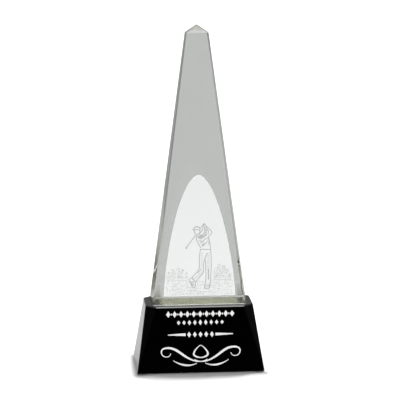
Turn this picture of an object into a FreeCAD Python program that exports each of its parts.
import FreeCAD, Part
import math
import os

# Tapered crystal award on a black crystal block.  Millimetres, Z up.
# Origin: centre of the footprint, on the surface the award stands on.
# The front faces -Y.
V = FreeCAD.Vector

# ---- felt pad under the block -------------------------------------------
pad_thickness = 0.8
pad_inset = 2.0            # pad edge to block edge
pad_corner_radius = 3.0

# ---- black block --------------------------------------------------------
block_height = 47.8
block_foot_width = 93.6
block_foot_depth = 56.0
block_top_width = 79.4
block_top_depth = 42.4
block_corner_cut = 7.4     # each top corner, along X and along Y
block_rim_bevel = 0.6

# ---- clear adhesive between block and column ----------------------------
film_thickness = 0.3
film_side_inset = 5.6      # film edge to column edge, left and right
film_front_inset = 1.4     # film edge to column edge, front and back

# ---- crystal column -----------------------------------------------------
column_height = 205.1      # foot to tip
column_foot_width = 69.0
column_foot_depth = 35.6
column_top_width = 17.1    # at the shoulder, under the pyramid
column_top_depth = 8.2
tip_height = 6.0           # pyramid above the shoulder
column_arris = 0.9         # polished bevel on the upright edges
column_foot_bevel = 0.6

# ---- sandblasted arch on the column's front -----------------------------
arch_width = 52.6
arch_height = 89.0
arch_lift = 6.4            # arch foot above the column's foot, along the face
arch_depth = 0.3
arch_tip_roundness = 1.42
arch_side_fullness = 0.55

# ---- engraving in the block's front, filled with white paint -------------
engrave_depth = 0.5
paint_recess = 0.1         # paint surface below the polished face
row_1_height = 4.8
row_1_pitch = 4.7
row_1_count = 11
row_2_height = 4.4
row_2_pitch = 4.0
row_2_count = 9
row_3_height = 4.4
row_3_bar = 13.0           # long tapered bar on each side
row_3_pitch = 4.2
swash_width = 60.0
swash_height = 15.0
swash_thick = 1.7
swash_thin = 0.55
# gaps above row 1, between the rows, above the swash and below it: they
# share out the height of the front face that the marks leave free
row_gaps = (2.4, 1.6, 4.4, 5.5, 5.187)

# ---- levels, from the sizes above ----------------------------------------
block_z = pad_thickness
film_z = block_z + block_height
column_z = film_z + film_thickness
shoulder_z = column_z + column_height - tip_height


def ring(half_width, half_depth, cut, z):
    """Eight corners of a cut rectangle, anticlockwise seen from above."""
    w, d, c = half_width, half_depth, cut
    flat = [(w, c - d), (w, d - c), (w - c, d), (c - w, d),
            (-w, d - c), (-w, c - d), (c - w, -d), (w - c, -d)]
    return [V(x, y, z) for x, y in flat]


def polygon(corners):
    """A flat face from its corners, leaving out any corner that repeats."""
    kept = []
    for corner in corners:
        if all(corner.distanceToPoint(other) > 1e-6 for other in kept):
            kept.append(corner)
    if len(kept) < 3:
        return None
    return Part.Face(Part.makePolygon(kept + [kept[0]]))


def stack(rings, apex=None):
    """A closed flat-sided solid through rings of eight corners."""
    faces = [polygon(rings[0])]
    for low, high in zip(rings, rings[1:]):
        for i in range(8):
            j = (i + 1) % 8
            faces.append(polygon([low[i], low[j], high[j], high[i]]))
    top = rings[-1]
    if apex is None:
        faces.append(polygon(top))
    else:
        for i in range(8):
            faces.append(polygon([top[i], top[(i + 1) % 8], apex]))
    solid = Part.Solid(Part.Shell([f for f in faces if f is not None]))
    if solid.Volume < 0:
        solid.reverse()
    return solid


def slope_frame(low_y, low_z, high_y, high_z):
    """Origin, up-slope direction and outward normal of a leaning front face."""
    up = V(0, high_y - low_y, high_z - low_z).normalize()
    return V(0, low_y, low_z), up, V(0, -up.z, up.y)


def on_slope(frame, u, v, out=0.0):
    """Point u across, v up the slope and out along the normal."""
    origin, up, normal = frame
    return origin + V(u, 0, 0) + up * v + normal * out


# ---- the front faces that carry the decoration ----------------------------
block_front = slope_frame(-block_foot_depth / 2, block_z,
                          -block_top_depth / 2, film_z - block_rim_bevel)
block_slope = math.hypot((block_foot_depth - block_top_depth) / 2,
                         block_height - block_rim_bevel)
column_front = slope_frame(-column_foot_depth / 2, column_z + column_foot_bevel,
                           -column_top_depth / 2, shoulder_z)


def row_centres():
    """How far up the slope each engraved row is centred, from row 1 down to the swash."""
    heights = (row_1_height, row_2_height, row_3_height, swash_height)
    gap_scale = (block_slope - sum(heights)) / sum(row_gaps)
    centres = []
    row_foot = block_slope
    for gap, height in zip(row_gaps, heights):
        row_foot -= gap * gap_scale + height
        centres.append(row_foot + height / 2)
    return centres


row_1_v, row_2_v, row_3_v, swash_v = row_centres()


def felt_pad():
    width = block_foot_width - 2 * pad_inset
    depth = block_foot_depth - 2 * pad_inset
    pad = Part.makeBox(width, depth, pad_thickness, V(-width / 2, -depth / 2, 0))
    upright = [e for e in pad.Edges if abs(e.Length - pad_thickness) < 1e-6
               and abs(e.Vertexes[0].Z - e.Vertexes[1].Z) > 1e-6]
    return pad.makeFillet(pad_corner_radius, upright)


def block_body():
    """Block with four long corner facets that die out at the foot."""
    w, d = block_top_width / 2, block_top_depth / 2
    b = block_rim_bevel
    rim_cut = block_corner_cut - b * (2 - math.sqrt(2))
    return stack([ring(block_foot_width / 2, block_foot_depth / 2, 0, block_z),
                  ring(w, d, block_corner_cut, film_z - b),
                  ring(w - b, d - b, rim_cut, film_z)])


def adhesive_film():
    width = column_foot_width - 2 * film_side_inset
    depth = column_foot_depth - 2 * film_front_inset
    return Part.makeBox(width, depth, film_thickness, V(-width / 2, -depth / 2, film_z))


def arch_half_width(height):
    share = max(0.0, 1 - (height / arch_height) ** arch_tip_roundness)
    return arch_width / 2 * share ** arch_side_fullness


def arch_cutter():
    """Arch outline on the column's front, from the pocket floor outwards."""
    steps = 18
    side = []
    for i in range(steps + 1):
        height = arch_height * math.sin(math.pi / 2 * i / steps)
        side.append((arch_half_width(height), height))
    path = [(-u, h) for u, h in side] + [(u, h) for u, h in reversed(side[:-1])]
    points = [on_slope(column_front, u, arch_lift + h, -arch_depth) for u, h in path]
    curve = Part.BSplineCurve()
    curve.interpolate(points)
    foot = Part.LineSegment(points[-1], points[0])
    outline = Part.Wire([curve.toShape(), foot.toShape()])
    return Part.Face(outline).extrude(column_front[2] * (arch_depth + 2))


def crystal_column():
    w, d, a = column_foot_width / 2, column_foot_depth / 2, column_arris
    b = column_foot_bevel
    body = stack([ring(w - b, d - b, a, column_z),
                  ring(w, d, a, column_z + b),
                  ring(column_top_width / 2, column_top_depth / 2, a, shoulder_z)],
                 V(0, 0, column_z + column_height))
    return body.cut(arch_cutter())


def mark(outline, low, high):
    """Prism on the block's front from an outline in (u, v)."""
    points = [on_slope(block_front, u, v, low) for u, v in outline]
    return polygon(points).extrude(block_front[2] * (high - low))


def lozenge(u, v, width, height):
    return [(u - width / 2, v), (u, v - height / 2), (u + width / 2, v), (u, v + height / 2)]


def row_1_outlines():
    """Lozenges with small diamonds between them."""
    out = []
    for i in range(row_1_count):
        u = (i - (row_1_count - 1) / 2) * row_1_pitch
        out.append(lozenge(u, row_1_v, row_1_pitch * 0.7, row_1_height))
        if i:
            out.append(lozenge(u - row_1_pitch / 2, row_1_v, row_1_pitch * 0.26, row_1_height * 0.4))
    return out


def row_2_outlines():
    """Upright leaves, tall in the middle of the row and shorter at its ends."""
    out = []
    for i in range(row_2_count):
        k = i - (row_2_count - 1) / 2
        height = row_2_height * (1 - 0.3 * abs(k) / (row_2_count / 2))
        out.append(lozenge(k * row_2_pitch, row_2_v, row_2_pitch * 0.66, height))
    return out


def row_3_outlines():
    """Five lozenges between two long tapered bars."""
    out = [lozenge(k * row_3_pitch, row_3_v, row_3_pitch * 0.7, row_3_height) for k in (-2, -1, 0, 1, 2)]
    start = row_3_pitch * 2.6
    half = row_3_height * 0.24
    for s in (-1, 1):
        out.append([(s * start, row_3_v + half), (s * start, row_3_v - half),
                    (s * (start + row_3_bar), row_3_v - half / 3),
                    (s * (start + row_3_bar), row_3_v + half / 3)])
    return out


def stroke(points, thick, thin, low, high):
    """Pen stroke along a smooth line, thin at its ends and thick between."""
    line = Part.BSplineCurve()
    line.interpolate([V(u, v, 0) for u, v in points])
    steps = 6 * (len(points) - 1)
    left, right = [], []
    for i in range(steps + 1):
        t = line.FirstParameter + (line.LastParameter - line.FirstParameter) * i / steps
        at = line.value(t)
        along = line.tangent(t)[0]
        half = (thin + (thick - thin) * math.sin(math.pi * i / steps) ** 2) / 2
        left.append(on_slope(block_front, at.x - along.y * half, at.y + along.x * half, low))
        right.append(on_slope(block_front, at.x + along.y * half, at.y - along.x * half, low))
    sides = []
    for side in (left, right):
        curve = Part.BSplineCurve()
        curve.interpolate(side)
        sides.append(curve.toShape())
    caps = [Part.makeLine(left[0], right[0]), Part.makeLine(left[-1], right[-1])]
    outline = Part.Wire(Part.__sortEdges__(sides + caps))
    return Part.Face(outline).extrude(block_front[2] * (high - low))


def swash_solids(low, high):
    """Mirrored flourish: two long scrolls that cross under a pointed loop."""
    w, h = swash_width / 2, swash_height / 2
    scroll = [(-0.16, -0.40), (0.06, -0.62), (0.30, -0.30), (0.52, 0.30), (0.76, 0.74),
              (0.96, 0.50), (0.93, 0.02), (0.78, -0.06), (0.74, 0.22)]
    loop = [(0.0, 0.96), (0.13, 0.52), (0.17, 0.06), (0.07, -0.20), (-0.09, -0.14)]
    under = [(0.10, -0.78), (0.30, -0.98), (0.52, -0.82), (0.68, -0.48)]
    solids = []
    for s in (-1, 1):
        for shape, thick in ((scroll, swash_thick), (loop, swash_thick * 0.8),
                             (under, swash_thick * 0.8)):
            points = [(s * x * w, swash_v + y * h) for x, y in shape]
            solids.append(stroke(points, thick, swash_thin, low, high))
    whole = solids[0].fuse(solids[1:])
    return whole.removeSplitter()


def row_solids(outlines, low, high):
    return [mark(outline, low, high) for outline in outlines]


def paint(outlines):
    return Part.makeCompound(row_solids(outlines, -engrave_depth, -paint_recess))


def black_block():
    cutters = []
    for outlines in (row_1_outlines(), row_2_outlines(), row_3_outlines()):
        cutters += row_solids(outlines, -engrave_depth, 1.0)
    cutters += swash_solids(-engrave_depth, 1.0).Solids
    return block_body().cut(cutters)


def paint_swash():
    return Part.makeCompound(swash_solids(-engrave_depth, -paint_recess).Solids)


PIECES = {
    "felt_pad": felt_pad,
    "black_block": black_block,
    "adhesive_film": adhesive_film,
    "crystal_column": crystal_column,
    "paint_row_1": lambda: paint(row_1_outlines()),
    "paint_row_2": lambda: paint(row_2_outlines()),
    "paint_row_3": lambda: paint(row_3_outlines()),
    "paint_swash": paint_swash,
}

os.makedirs("parts", exist_ok=True)
for name, build in PIECES.items():
    shape = build()
    for solid in shape.Solids:
        if not solid.isValid() or solid.Volume <= 0:
            raise RuntimeError(name + " is not a valid solid")
    shape.exportStep("parts/" + name + ".step")
    box = shape.BoundBox
    print(name, len(shape.Solids), "solid(s)", round(sum(s.Volume for s in shape.Solids), 2), "mm3",
          [round(q, 2) for q in (box.XMin, box.XMax, box.YMin, box.YMax, box.ZMin, box.ZMax)])
